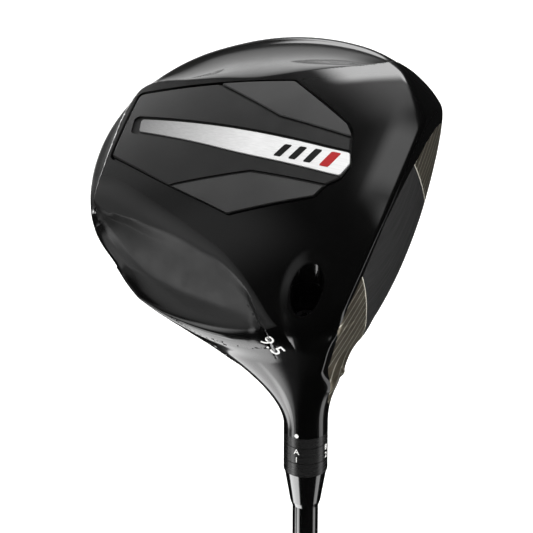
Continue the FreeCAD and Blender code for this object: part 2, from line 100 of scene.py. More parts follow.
OUTLINE = [(46, -98.6), (30, -97.6), (18, -93.8), (6, -86.6), (-3.6, -75.0), (-12, -62.5),
           (-18.5, -48), (-22, -35), (-23.5, -22), (-22, -7), (-15, 10), (-3, 23), (15, 30),
           (40, 31), (60, 27), (76, 17), (86, 7), (91.8, -2.4), (96, -11.4), (98.4, -20.3), (99.3, -30),
           (98.5, -42.8), (95, -56.6), (89.6, -68), (82.2, -79), (73.6, -87.3), (62.4, -94.4)]
KEEL = [(63.5, -88), (60, -91), (49, -92.2), (38.5, -91.5), (28.5, -90.8), (20, -90.2),
        (15, -89.2), (11.5, -86), (9, -79.5), (6.2, -70), (1.5, -54), (-3.5, -39.5), (-6.5, -31),
        (-12.5, -20), (-19.5, -12), (-30, 0), (-30, 30), (0, 50), (40, 55), (80, 50), (97, 22),
        (92, 8), (84, -6), (80, -19.2), (76, -34.2), (72, -47.7), (69.5, -60.2), (66, -72.7)]
PANEL = [(58.5, -90.2), (63.5, -63), (68.4, -32), (53.6, -6), (50, -3), (37.8, 1.1), (31.5, -0.9),
         (28.4, -4.7), (23.8, -7.1), (12.6, -35.5), (21, -64), (30.8, -89.5)]
STRIP = [(46.8, -83.5), (45.7, -60), (44.8, -43), (42.6, -8.6), (42.5, -1.5), (38.4, 0),
         (33.4, -1.9), (33.4, -5.1), (35.4, -39), (38.3, -59), (41.4, -82)]
FACE_OUTLINE = [(-27.5, 44), (-25.6, 37), (-22.2, 32.4), (-18.9, 27.8), (-15.9, 23.2), (-12.9, 19.2),
                (-9, 15.6), (-4.8, 13.2), (2.2, 11.2), (12, 8), (22.4, 5.6), (33, 5.8), (40, 6.8),
                (47, 8.8), (60.5, 14.2), (70, 20.6), (76, 26.8), (79, 34), (78.5, 40.5), (75, 45.5),
                (64, 49), (50, 51), (34, 51.6), (16, 50.6), (0, 49.5), (-12, 49), (-20, 48)]
TOE_FACET = [(64, -63.5), (56.2, -44), (51, -31), (48.3, -11), (47.2, -1), (55, -5), (70, -33)]
HEEL_FACET = [(20.5, -64.5), (29.8, -32.6), (29.4, -2), (22, -5), (11, -35.5)]
RECESS = [(47.1, -85.6), (45.7, -60), (44.8, -43), (42.6, -8.6), (42.5, -1.5), (38.4, 0),
          (33.4, -1.9), (33.4, -5.1), (35.4, -39), (38.3, -59), (41.2, -84.2)]
PANEL_GAP = 1.05
FACET_GAP = 0.95
STRIP_GAP = 0.75
MARK_LEAN = 2.6            # how far the top of each bar leans
MARK_LIFT = 0.52           # depth of the mark's face below the sole: just proud of the strip
# front, back, low and high edges of each bar of the mark on the strip
MARK_BARS = [(-24.4, -27.1, 36.2, 41.2, "black"), (-18.9, -21.6, 36.0, 41.3, "black"),
             (-13.4, -16.1, 35.8, 41.4, "black"), (-6.8, -10.2, 35.5, 41.5, "red")]
SCORE_LINES = np.arange(10.0, 50.0, 4.0)    # heights of the face's score lines
LOFT_SPOT = (-22.9, -8.5, 20.6)
LOFT_READS = (-0.395, 0.735, 0.551)
DOT_STATION = 61.4
LETTER_SIZE = 2.9          # of the adapter's letters and numbers
RING_TEXT = 67.45          # stations of the two rows
SLEEVE_TEXT = 70.45
SATIN_SHADE = 0.045        # the leaf's matt lacquer: how light it is and how much it glints
SATIN_METAL = 0.8
PRINT_LIFT = 0.05          # how far print stands off what it is printed on

# Soft boxes: (azimuth, height) in degrees, half widths, soft edges, turn, strength
SOFT_BOXES = [
    ((217.0, 8.0), (0.10, 0.06), (0.22, 0.20), 0.0, 2.7),      # glow on the heel's flank
    ((205.0, 26.0), (0.04, 0.06), (0.12, 0.15), 0.0, 0.8),
    ((212.0, 40.0), (0.05, 0.08), (0.28, 0.24), 0.0, 0.35),
    ((215.0, -51.0), (0.34, 0.25), (0.12, 0.12), 0.0, 4.6),    # low, left of the hosel
    ((224.0, -26.0), (0.08, 0.16), (0.06, 0.10), 0.0, 3.6),    # and above it
    ((0.0, 90.0), (0.12, 0.12), (0.24, 0.24), 0.0, 1.7),       # overhead
    ((118.0, 62.0), (0.06, 0.06), (0.20, 0.20), 0.0, 1.0),     # beyond the toe, from the top down
    ((124.0, 16.0), (0.16, 0.28), (0.16, 0.20), 0.0, 0.95),
    ((121.0, 50.0), (0.12, 0.04), (0.08, 0.06), 0.0, 7.0),
    ((148.0, 6.0), (0.12, 0.12), (0.15, 0.15), 0.0, 8.0),      # behind the tail's rim
    ((172.0, 31.0), (0.15, 0.15), (0.30, 0.2), 0.0, 0.4),
    ((22.0, -28.0), (0.15, 0.40), (0.08, 0.2), 0.0, 1.6),      # strip on the right
]
ROOM_GREY = 0.012
ROOM_RISE = 0.01


# ---- frames ----
def to_row(p):
    """Head frame in millimetres to the model's frame in metres."""
    p = np.asarray(p, float)
    x, y, z = p[..., 0], p[..., 1], p[..., 2]
    return np.stack([y, SIN_LIE * x + COS_LIE * z, CLUB_LENGTH + COS_LIE * x - SIN_LIE * z], -1) * MM


def to_head(q):
    """The model's frame in metres to the head frame in millimetres."""
    q = np.asarray(q, float) / MM
    x, y, z = q[..., 0], q[..., 1], q[..., 2] - CLUB_LENGTH
    return np.stack([SIN_LIE * y + COS_LIE * z, x, COS_LIE * y - SIN_LIE * z], -1)


def turn_to_row(n):
    """Direction in the head frame to the model's frame."""
    x, y, z = n[..., 0], n[..., 1], n[..., 2]
    return np.stack([y, SIN_LIE * x + COS_LIE * z, COS_LIE * x - SIN_LIE * z], -1)


# ---- the head's form ----
def closed_radius(points):
    """Radius about HEAD_CENTRE, by angle, of a smooth closed curve through the points."""
    p = np.array(points, float) - HEAD_CENTRE
    angle, radius = np.arctan2(p[:, 1], p[:, 0]), np.hypot(p[:, 0], p[:, 1])
    order = np.argsort(angle)
    angle, radius = angle[order], radius[order]
    turn = 2 * math.pi
    a = np.concatenate([angle[-2:] - turn, angle, angle[:3] + turn])
    r = np.concatenate([radius[-2:], radius, radius[:3]])
    slope = np.gradient(r, a) * 0
    slope[1:-1] = (r[2:] - r[:-2]) / (a[2:] - a[:-2])

    def at(t):
        t = (t - angle[0]) % turn + angle[0]
        i = np.clip(np.searchsorted(a, t, side="right") - 1, 0, len(a) - 2)
        span = a[i + 1] - a[i]
        u = (t - a[i]) / span
        return ((2 * u**3 - 3 * u**2 + 1) * r[i] + (u**3 - 2 * u**2 + u) * span * slope[i]
                + (3 * u**2 - 2 * u**3) * r[i + 1] + (u**3 - u**2) * span * slope[i + 1])

    return at


outline_radius = closed_radius(OUTLINE)
keel_radius = closed_radius(KEEL)


def smooth_max(a, b, blend):
    h = np.clip(0.5 + 0.5 * (a - b) / blend, 0, 1)
    return b * (1 - h) + a * h + blend * h * (1 - h)


def smooth_min(a, b, blend):
    return -smooth_max(-a, -b, blend)


def smooth_step(t):
    t = np.clip(t, 0, 1)
    return t * t * (3 - 2 * t)


def hump(angle, middle, flat, fall):
    """One within flat degrees of the middle angle, falling to nothing over the next few."""
    away = np.abs((np.degrees(angle) - middle + 180) % 360 - 180)
    return 1 - smooth_step((away - flat) / fall)


def keel_height(x, y):
    """Shallow bowl of the sole, rolled up a little along its leading edge."""
    across = (x - BALL_CENTRE[0])**2 + (BALL_CENTRE[2] - 3.0)**2
    edge = BALL_CENTRE[1] + np.sqrt(FACE_RADIUS**2 - across)
    roll = np.clip(1 - (edge - y) / ROLL_REACH, 0, 1.4) * smooth_step((x - 5) / 25)
    return (y + 4.0)**2 / 470.0 + (x - 42.0)**2 / 250.0 + ROLL_RISE * roll**2


def flank_lens(x, y, z):
    """One inside the long leaf-shaped hollow on the heel's flank, nothing outside it."""
    def edge(middle_height, middle, back, front):
        return middle_height + back * np.minimum(y + middle, 0)**2 + front * np.maximum(y + middle, 0)**2

    low, high = edge(*LEAF_LOW), edge(*LEAF_HIGH)
    inside = smooth_step((z - low) / 6.0) * smooth_step(0.5 + (high - z) / 1.6)
    return inside * smooth_step((LEAF_END - x) / 4.0)


def plan(x, y):
    """All that depends on the plan alone: outline, sole and crown heights, and their steepness."""
    def heights(x, y):
        dx, dy = x - HEAD_CENTRE[0], y - HEAD_CENTRE[1]
        angle, r = np.arctan2(dy, dx), np.hypot(dx, dy)
        outer, inner = outline_radius(angle), keel_radius(angle)
        foot = keel_height(HEAD_CENTRE[0] + inner * np.cos(angle),
                           HEAD_CENTRE[1] + inner * np.sin(angle))
        t = (r - inner) / np.maximum(outer - inner, 6.0)
        tail = hump(angle, -90.6, 21, 7)
        toe_step = hump(angle, -64, 4, 26)
        step = 3.6 * tail + 1.6 * toe_step * (1 - tail)
        full = smooth_step((outer - inner) / (1.0 + 10.0 * hump(angle, 165, 35, 20)))
        rise = (1 - np.clip(1 - t, 0, 1)**1.7) * (1 - (1 - full) * smooth_step(t / 0.5))
        ledge = foot + step * np.clip(t / (0.32 - 0.25 * np.maximum(tail, toe_step)), 0, 1)
        skirt = SKIRT_HEIGHT - 0.0045 * np.clip(y + 53.0, 0, 42)**2 * smooth_step((24.0 - x) / 8.0)
        inward = foot + 1.7 * np.maximum(skirt - foot, 6.0) * t - 24.0 * t**2
        flank = np.where(t > 0, ledge + (skirt - ledge) * rise, inward)
        blend = 5.0 - 4.2 * np.maximum(tail, 0.75 * toe_step)
        sole = smooth_max(keel_height(x, y), flank, blend)
        inside = np.clip(1 - (r / outer)**2.4, 0, None)
        height = 33.0 + 0.12 * dy - 0.06 * np.maximum(0.0, dx)
        crown = WAIST_HEIGHT + height * inside**0.66 - 40 * np.clip(r / outer - 1, 0, None)
        return angle, r, outer, sole, crown

    angle, r, outer, sole, crown = heights(x, y)
    d = 0.05
    _, _, _, sx, cx = heights(x + d, y)
    _, _, _, sy, cy = heights(x, y + d)
    sole_steep = np.sqrt(1 + ((sx - sole) / d)**2 + ((sy - sole) / d)**2)
    crown_steep = np.sqrt(1 + ((cx - crown) / d)**2 + ((cy - crown) / d)**2)
    return {"angle": angle, "r": r, "outer": outer, "sole": sole, "crown": crown,
            "sole_steep": np.minimum(sole_steep, 4), "crown_steep": np.minimum(crown_steep, 4)}


def sole_at(x, y):
    return plan(np.asarray(x, float), np.asarray(y, float))["sole"]


def neck_field(x, y, z, along):
    """Hosel whose sections open out into the heel, most of all towards the back."""
    down = np.maximum(NECK_TOP - along, 0.0)
    under = -(SIN_LIE * x + COS_LIE * z)
    wide = HOSEL_RADIUS + np.where(y < 0, 0.0756 * down**1.897, 0.0052 * down**2.33)
    deep = HOSEL_RADIUS + np.where(under < 0, 0.0155 * down**2.17, 0.0)
    reach = np.sqrt((y / wide)**2 + (under / deep)**2)
    steep = np.sqrt((y / wide**2)**2 + (under / deep**2)**2)
    neck = (reach - 1) * reach / np.maximum(steep, 1e-6)
    neck = smooth_max(neck, 24.0 - along, 6.0)
    return np.minimum(neck, np.sqrt(y**2 + under**2) - HOSEL_RADIUS)


def head_field(x, y, z, flat=None):
    """Signed distance, about, to the skin of the head: negative inside."""
    if flat is None:
        flat = plan(x, y)
    tuck = (TUCK + 2.2 * hump(flat["angle"], 45, 20, 12)) * np.clip(1 - z / WAIST_HEIGHT, 0, 1)**1.6
    wall = flat["r"] - flat["outer"] + tuck
    below = (flat["sole"] - z) / flat["sole_steep"]
    above = (z - flat["crown"]) / flat["crown_steep"]
    ball = np.sqrt((x - BALL_CENTRE[0])**2 + (y - BALL_CENTRE[1])**2 + (z - BALL_CENTRE[2])**2)
    ball = ball - FACE_RADIUS
    f = smooth_max(wall, above, 3.0)
    f = smooth_max(f, below, 1.6 + 4.0 * hump(flat["angle"], 168, 15, 20))

    along = -COS_LIE * x + SIN_LIE * z
    f = smooth_min(f, neck_field(x, y, z, along), 3.0 + 7.0 * smooth_step((z - 30.0) / 10.0))
    clear = smooth_step((along - 36) / 16)
    f = smooth_max(f, ball - 9.0 * clear, 1.4 + 5.0 * smooth_step((z - 25) / 20) * (1 - clear))
    f = smooth_max(f, below, 2.0) + LEAF_DEPTH * flank_lens(x, y, z)
    return np.maximum(f, along - HOSEL_TOP - 1.5)


def head_gradient(p):
    d = 0.04
    parts = []
    for axis in range(3):
        step = np.zeros(3)
        step[axis] = d
        ahead, back = p + step, p - step
        parts.append(head_field(ahead[:, 0], ahead[:, 1], ahead[:, 2])
                     - head_field(back[:, 0], back[:, 1], back[:, 2]))
    return np.stack(parts, -1) / (2 * d)


# ---- meshes ----
def new_object(name, points, faces, row=False):
    """Mesh object from head-frame points (or row-frame ones)."""
    mesh = bpy.data.meshes.new(name)
    points = np.asarray(points, float) if row else to_row(points)
    mesh.from_pydata(points.tolist(), [], [tuple(int(i) for i in f) for f in faces])
    mesh.update()
    obj = bpy.data.objects.new(name, mesh)
    bpy.context.collection.objects.link(obj)
    return obj


def mesh_head_skin():
    """The whole outside of the head as one closed quad mesh."""
    h = SKIN_VOXEL
    x = np.arange(-44, 104, h)
    y = np.arange(-105, 24, h)
    z = np.arange(-2, 66, h)
    flat = plan(x[:, None, None], y[None, :, None])
    values = np.empty((len(x), len(y), len(z)), np.float32)
    for k in range(0, len(z), 16):
        values[:, :, k:k + 16] = head_field(x[:, None, None], y[None, :, None],
                                            z[None, None, k:k + 16], flat)
    grid = openvdb.FloatGrid()
    grid.copyFromArray(values)
    points, _, quads = grid.convertToPolygons(isovalue=0.0, adaptivity=0.0)
    points = points * h + [x[0], y[0], z[0]]
    for _ in range(3):
        g = head_gradient(points)
        f = head_field(points[:, 0], points[:, 1], points[:, 2])
        step = g * (f / np.maximum((g * g).sum(-1), 0.05))[:, None]
        size = np.linalg.norm(step, axis=1, keepdims=True)
        points = points - step * np.minimum(1, 0.5 * h / np.maximum(size, 1e-9))
    skin = new_object("head_shell", points, quads[:, ::-1])
    bpy.context.view_layer.update()
    return make_outward(skin)


def make_outward(obj):
    bm = bmesh.new()
    bm.from_mesh(obj.data)
    bmesh.ops.recalc_face_normals(bm, faces=bm.faces)
    if bm.calc_volume(signed=True) < 0:
        bmesh.ops.reverse_faces(bm, faces=bm.faces)
    bm.to_mesh(obj.data)
    bm.free()
    return obj


def smooth_outline(points, radius, spacing=0.7):
    """Closed outline of straight runs with rounded corners, as evenly spaced points."""
    p = np.array(points, float)
    count = len(p)
    path = []
    for i in range(count):
        before, here, after = p[i - 1], p[i], p[(i + 1) % count]
        back, ahead = before - here, after - here
        lb, la = np.linalg.norm(back), np.linalg.norm(ahead)
        back, ahead = back / lb, ahead / la
        half = math.acos(np.clip(back @ ahead, -1, 1)) / 2
        reach = min(radius / math.tan(half), 0.45 * lb, 0.45 * la) if half < 1.5 else 0.45 * min(lb, la)
        start, end = here + back * reach, here + ahead * reach
        for t in np.linspace(0, 1, 9):
            path.append((1 - t)**2 * start + 2 * t * (1 - t) * here + t * t * end)
    path = np.array(path + path[:1])
    length = np.concatenate([[0], np.cumsum(np.linalg.norm(np.diff(path, axis=0), axis=1))])
    even = np.linspace(0, length[-1], max(12, int(length[-1] / spacing)) + 1)[:-1]
    ring = np.stack([np.interp(even, length, path[:, k]) for k in (0, 1)], -1)
    area = (ring[:, 0] * np.roll(ring[:, 1], -1) - np.roll(ring[:, 0], -1) * ring[:, 1]).sum()
    return ring if area > 0 else ring[::-1]


def offset_ring(ring, distance):
    """Ring moved inwards by the distance; corners that would fold over are drawn straight."""
    edge = np.roll(ring, -1, 0) - np.roll(ring, 1, 0)
    normal = np.stack([-edge[:, 1], edge[:, 0]], -1)
    normal /= np.linalg.norm(normal, axis=1, keepdims=True)
    moved = ring + normal * distance
    ahead = np.roll(ring, -1, 0) - ring
    count = len(ring)
    for _ in range(8):
        folded = ((np.roll(moved, -1, 0) - moved) * ahead).sum(-1) < 0.1 * (ahead * ahead).sum(-1)
        if not folded.any():
            break
        loose = folded | np.roll(folded, 1)
        loose |= np.roll(loose, 1) | np.roll(loose, -1)
        place = np.arange(count)
        fixed = np.nonzero(~loose)[0]
        around = np.concatenate([fixed - count, fixed, fixed + count])
        for k in (0, 1):
            moved[:, k] = np.interp(place, around, np.tile(moved[fixed, k], 3))
    return moved


def filled(ring, spacing):
    """Triangulated inside of a ring with a net of inner points; the ring's points come first."""
    low, high = ring.min(0), ring.max(0)
    xs = np.arange(low[0] + spacing / 2, high[0], spacing)
    ys = np.arange(low[1] + spacing / 2, high[1], spacing)
    net = np.array([(a, b) for a in xs for b in ys])
    inside = np.zeros(len(net), bool)
    near = np.full(len(net), np.inf)
    for (x0, y0), (x1, y1) in zip(ring, np.roll(ring, -1, 0)):
        cross = ((y0 > net[:, 1]) != (y1 > net[:, 1]))
        with np.errstate(divide="ignore", invalid="ignore"):
            at = (x1 - x0) * (net[:, 1] - y0) / (y1 - y0) + x0
        inside ^= cross & (net[:, 0] < at)
        near = np.minimum(near, np.hypot(net[:, 0] - x0, net[:, 1] - y0))
    net = net[inside & (near > 0.6 * spacing)]
    points = np.concatenate([ring, net])
    loop = list(range(len(ring)))
    _, _, faces, source, _, _ = delaunay_2d_cdt([Vector(p) for p in points], [], [loop], 1, 1e-5)
    return points, [tuple(source[i][0] for i in face) for face in faces]


def layered(name, rings, floor_height, top_height, spacing=1.6, upright=False):
    """Closed solid from rings of equal count, (ring, height function), from the open face to the floor.

    The first ring is filled with top_height, the last with floor_height.  An upright solid has
    its rings in x and z and its heights in y.
    """
    points, faces = [], []
    top2d, top_faces = filled(rings[0][0], spacing)
    top = np.concatenate([top2d, top_height(top2d[:, 0], top2d[:, 1])[:, None]], 1)
    points.append(top)
    faces += [tuple(f) for f in top_faces]
    start = [0]
    count = len(rings[0][0])
    total = len(top)
    for ring, height in rings[1:-1]:
        start.append(total)
        points.append(np.concatenate([ring, height(ring[:, 0], ring[:, 1])[:, None]], 1))
        total += count
    start.append(total)
    low2d, low_faces = filled(rings[-1][0], spacing)
    low = np.concatenate([low2d, floor_height(low2d[:, 0], low2d[:, 1])[:, None]], 1)
    points.append(low)
    faces += [tuple(i + total for i in f)[::-1] for f in low_faces]
    for a, b in zip(start[:-1], start[1:]):
        for i in range(count):
            j = (i + 1) % count
            faces.append((a + i, b + i, b + j, a + j))
    points = np.concatenate(points)
    return make_outward(new_object(name, points[:, [0, 2, 1]] if upright else points, faces))


def sole_offset(distance):
    return lambda x, y: sole_at(x, y) + distance


def sole_cutter(name, outline, corner, depth, chamfer=0.35, grow=0.0):
    """Cutter for a pocket that follows the sole, with a chamfered rim."""
    ring = offset_ring(smooth_outline(outline, corner), -grow)
    wide = offset_ring(ring, -chamfer)
    rings = [(wide, None), (wide, sole_offset(-0.02)), (ring, sole_offset(chamfer)), (ring, None)]
    return layered(name, rings, sole_offset(depth), sole_offset(-5.0))


def sole_plate(name, outline, corner, inset, face, back, bevel=0.25, spacing=1.6):
    """Plate that follows the sole: its face is face mm inside the skin, its back is deeper."""
    outer = offset_ring(smooth_outline(outline, corner), inset)
    inner = offset_ring(outer, bevel)
    rings = [(inner, None), (outer, sole_offset(face + bevel)), (outer, None)]
    return layered(name, rings, sole_offset(back), sole_offset(face), spacing)


def cylinder(name, radius, start, end, segments=96):
    """Closed cylinder between two head-frame points."""
    start, end = np.asarray(start, float), np.asarray(end, float)
    along = (end - start) / np.linalg.norm(end - start)
    side = np.cross(along, [0.3, 0.8, 0.52])
    side /= np.linalg.norm(side)
    other = np.cross(along, side)
    angle = np.linspace(0, 2 * math.pi, segments, endpoint=False)[:, None]
    rim = radius * (np.cos(angle) * side + np.sin(angle) * other)
    points = np.concatenate([start + rim, end + rim])
    faces = [(i, (i + 1) % segments, (i + 1) % segments + segments, i + segments)
             for i in range(segments)]
    faces += [tuple(range(segments))[::-1], tuple(range(segments, 2 * segments))]
    return make_outward(new_object(name, points, faces))


def axis_cylinder(name, radius, low, high):
    return cylinder(name, radius, AXIS * low, AXIS * high)


def carve(target, cutter, operation="DIFFERENCE"):
    """Boolean of two closed meshes; the cutter is used up."""
    modifier = target.modifiers.new("carve", "BOOLEAN")
    modifier.solver = "MANIFOLD"
    modifier.operation = operation
    modifier.object = cutter
    depsgraph = bpy.context.evaluated_depsgraph_get()
    mesh = bpy.data.meshes.new_from_object(target.evaluated_get(depsgraph))
    target.modifiers.clear()
    old = target.data
    target.data = mesh
    bpy.data.meshes.remove(old)
    bpy.data.objects.remove(cutter)
    return target


def copy_of(obj, name):
    twin = obj.copy()
    twin.data = obj.data.copy()
    twin.name = name
    bpy.context.collection.objects.link(twin)
    return twin


def shade_skin(obj, tolerance=0.06, crease=35.0):
    """Exact normals where a face lies on the head's form; smoothing within a crease angle elsewhere."""
    mesh = obj.data
    count = len(mesh.vertices)
    co = np.empty(count * 3)
    mesh.vertices.foreach_get("co", co)
    head = to_head(co.reshape(-1, 3))
    field = np.abs(head_field(head[:, 0], head[:, 1], head[:, 2]))
    gradient = head_gradient(head)
    gradient /= np.linalg.norm(gradient, axis=1, keepdims=True)
    exact = turn_to_row(gradient)
    loops = np.empty(len(mesh.loops), np.int64)
    mesh.loops.foreach_get("vertex_index", loops)
    starts = np.empty(len(mesh.polygons), np.int64)
    sizes = np.empty(len(mesh.polygons), np.int64)
    mesh.polygons.foreach_get("loop_start", starts)
    mesh.polygons.foreach_get("loop_total", sizes)
    face_normal = np.empty(len(mesh.polygons) * 3)
    mesh.polygons.foreach_get("normal", face_normal)
    face_normal = face_normal.reshape(-1, 3)
    area = np.empty(len(mesh.polygons))
    mesh.polygons.foreach_get("area", area)
    owner = np.repeat(np.arange(len(sizes)), sizes)
    worst = np.maximum.reduceat(field[loops], starts)
    agree = (face_normal[owner] * exact[loops]).sum(-1)
    least = np.minimum.reduceat(agree, starts)
    on_skin = (worst < tolerance) & (least > 0.6)
    normals = np.where(on_skin[owner][:, None], exact[loops], face_normal[owner])
    others = np.nonzero(~on_skin[owner])[0]
    by_vertex = {}
    for loop in others:
        by_vertex.setdefault(loops[loop], []).append(loop)
    limit = math.cos(math.radians(crease))
    for ring in by_vertex.values():
        own = owner[ring]
        n = face_normal[own]
        same = (n @ n.T) > limit
        mixed = same @ (n * area[own][:, None])
        normals[ring] = mixed / np.maximum(np.linalg.norm(mixed, axis=1, keepdims=True), 1e-12)
    mesh.polygons.foreach_set("use_smooth", np.ones(len(sizes), bool))
    mesh.normals_split_custom_set(normals.tolist())
    return obj


def shade_plain(obj, angle=30.0):
    """Smooth shading with sharp edges over the angle."""
    mesh = obj.data
    mesh.polygons.foreach_set("use_smooth", np.ones(len(mesh.polygons), bool))
    bm = bmesh.new()
    bm.from_mesh(mesh)
    for edge in bm.edges:
        if len(edge.link_faces) == 2 and edge.calc_face_angle(0) > math.radians(angle):
            edge.smooth = False
    bm.to_mesh(mesh)
    bm.free()
    return obj


# ---- cutters for the separate crown and face ----
def ball_front(x, z):
    """y of the face's bulge."""
    across = (x - BALL_CENTRE[0])**2 + (z - BALL_CENTRE[2])**2
    return BALL_CENTRE[1] + np.sqrt(FACE_RADIUS**2 - across)


def face_cutter(name, grow):
    ring = offset_ring(smooth_outline(FACE_OUTLINE, 7.0), -grow)
    rings = [(ring, None), (ring, None)]
    return layered(name, rings, lambda x, z: ball_front(x, z) - FACE_THICK - grow,
                   lambda x, z: ball_front(x, z) + 6.0, 4.0, upright=True)


def crown_ring(grow):
    """Plan of the crown shell, seen from the head's centre all the way round."""
    angle = np.linspace(-math.pi, math.pi, 720, endpoint=False)
    way = np.stack([np.cos(angle), np.sin(angle)], -1)
    reach = outline_radius(angle) - CROWN_INSET + grow
    ahead = CROWN_FRONT + grow - HEAD_CENTRE[1]
    front = np.where(way[:, 1] > 0.02, ahead / np.maximum(way[:, 1], 0.02), 999)
    reach = np.minimum(reach, front)
    for cx, cy, radius in CROWN_NOTCHES:
        to = np.array([cx, cy]) - HEAD_CENTRE
        middle = way @ to
        short = (radius - grow)**2 - (to @ to - middle**2)
        hit = (short > 0) & (middle > 0)
        reach = np.where(hit, np.minimum(reach, middle - np.sqrt(np.maximum(short, 0))), reach)
    for _ in range(10):
        reach = (np.roll(reach, 1) + 2 * reach + np.roll(reach, -1)) / 4
    ring = HEAD_CENTRE + way * reach[:, None]
    closed = np.vstack([ring, ring[:1]])
    length = np.concatenate([[0], np.cumsum(np.linalg.norm(np.diff(closed, axis=0), axis=1))])
    even = np.linspace(0, length[-1], 500, endpoint=False)
    return np.stack([np.interp(even, length, closed[:, k]) for k in (0, 1)], -1)


def crown_cutter(name, grow):
    ring = crown_ring(grow)

    def crown_at(lift):
        return lambda x, y: plan(x, y)["crown"] + lift

    rings = [(ring, None), (ring, None)]
    return layered(name, rings, crown_at(-CROWN_THICK - grow), crown_at(8.0), 3.0)


# ---- head pieces ----
def build_head():
    skin = mesh_head_skin()
    carve(skin, axis_cylinder("cut", 14.0, HOSEL_TOP, 90))
    crown = copy_of(skin, "crown_cap")
    face = copy_of(skin, "face_insert")
    carve(crown, crown_cutter("cut", 0.0), "INTERSECT")
    carve(face, face_cutter("cut", 0.0), "INTERSECT")
    carve(skin, crown_cutter("cut", SEAM))
    carve(skin, face_cutter("cut", SEAM))
    carve(skin, sole_cutter("cut", PANEL, 3.0, PANEL_DEPTH))
    for radius, low, high in ((PORT_LEAD_RADIUS, 0, PORT_LEAD_STEP), (PORT_MOUTH_RADIUS, -1, PORT_STEP),
                              (PORT_RADIUS, -2, WEB_BOTTOM), (SHANK_HOLE, -3, WEB_TOP + 1),
                              (HOSEL_BORE, WEB_TOP, HOSEL_TOP + 5)):
        carve(skin, axis_cylinder("cut", radius, low, high))
    x, z = WEIGHT_CENTRE
    carve(skin, cylinder("cut", WEIGHT_RADIUS + 0.05, (x, WEIGHT_FRONT, z), (x, -112, z)))
    for piece in (skin, crown, face):
        shade_skin(piece)
    return skin, crown, face


def build_sole():
    """Panel, two inlays and the bright strip, each cut to follow the sole."""
    panel = sole_plate("sole_cover", PANEL, 3.0, PANEL_GAP, 0.35, PANEL_DEPTH, 0.4)
    carve(panel, sole_cutter("cut", RECESS, 1.2, 1.3, 0.2, STRIP_GAP))
    for facet in (TOE_FACET, HEEL_FACET):
        carve(panel, sole_cutter("cut", facet, 2.0, 1.1, 0.3))
    toe = sole_plate("toe_facet", TOE_FACET, 2.0, FACET_GAP, 0.12, 1.1, 0.35, 1.2)
    heel = sole_plate("heel_facet", HEEL_FACET, 2.0, FACET_GAP, 0.12, 1.1, 0.35, 1.2)
    for facet in (toe, heel):
        carve(facet, sole_cutter("cut", PANEL, 3.0, PANEL_DEPTH, 0.02, -PANEL_GAP), "INTERSECT")
    strip = sole_plate("centre_strip", STRIP, 1.2, 0.12, 0.6, 1.3, 0.15, 1.0)
    for piece in (panel, toe, heel, strip):
        shade_plain(piece, 24.0)
    return panel, toe, heel, strip


def bar_shape(name, corners, face, thick):
    """Thin raised bar that follows the sole."""
    return shade_plain(sole_plate(name, corners, 0.25, 0.0, face, face + thick, 0.03, 0.8))


def text_shape(text, size):
    """Flat lettering as points in millimetres about its middle, and faces."""
    curve = bpy.data.curves.new("label", "FONT")
    curve.body = text
    curve.size = size
    curve.align_x, curve.align_y = "CENTER", "CENTER"
    curve.resolution_u = 4
    letters = bpy.data.objects.new("label", curve)
    bpy.context.collection.objects.link(letters)
    bpy.context.view_layer.update()
    mesh = bpy.data.meshes.new_from_object(letters.evaluated_get(bpy.context.evaluated_depsgraph_get()))
    bm = bmesh.new()
    bm.from_mesh(mesh)
    bmesh.ops.triangulate(bm, faces=bm.faces)
    for _ in range(2):
        long = [e for e in bm.edges if e.calc_length() > size * 0.12]
        if long:
            bmesh.ops.subdivide_edges(bm, edges=long, cuts=1)
            bmesh.ops.triangulate(bm, faces=bm.faces)
    points = np.array([v.co[:2] for v in bm.verts])
    bm.verts.index_update()
    faces = [tuple(v.index for v in f.verts) for f in bm.faces]
    bm.free()
    bpy.data.objects.remove(letters)
    bpy.data.curves.remove(curve)
    return points, faces


def disc_shape(radius):
    angle = np.linspace(0, 2 * math.pi, 24, endpoint=False)
    points = np.stack([radius * np.cos(angle), radius * np.sin(angle)], -1)
    return np.vstack([points, [[0, 0]]]), [(i, (i + 1) % 24, 24) for i in range(24)]


def skin_label(name, shape, centre, along, slant=0.0):
    """Print laid on the head's skin about a point, reading along a direction."""
    points, faces = shape
    g = head_gradient(np.array([centre]))[0]
    normal = g / np.linalg.norm(g)
    along = np.array(along, float)
    along = along - normal * (along @ normal)
    along /= np.linalg.norm(along)
    up = np.cross(normal, along)
    p = (centre + (points[:, :1] + slant * points[:, 1:]) * along + points[:, 1:] * up)
    for _ in range(4):
        g = head_gradient(p)
        f = head_field(p[:, 0], p[:, 1], p[:, 2]) - PRINT_LIFT
        p = p - g * (f / (g * g).sum(-1))[:, None]
    return thicken(new_object(name, p, faces))


def barrel_label(name, shape, station, azimuth, radius):
    """Print wrapped round the adapter, reading round it, its top towards the head."""
    points, faces = shape
    angle = azimuth + points[:, 0] / radius
    z = CLUB_LENGTH - station + points[:, 1]
    r = radius + PRINT_LIFT
    q = np.stack([r * np.cos(angle), r * np.sin(angle), z], -1) * MM
    return thicken(new_object(name, q, faces, row=True))


def thicken(obj):
    modifier = obj.modifiers.new("thick", "SOLIDIFY")
    modifier.thickness = 0.05 * MM
    modifier.offset = -1
    return obj


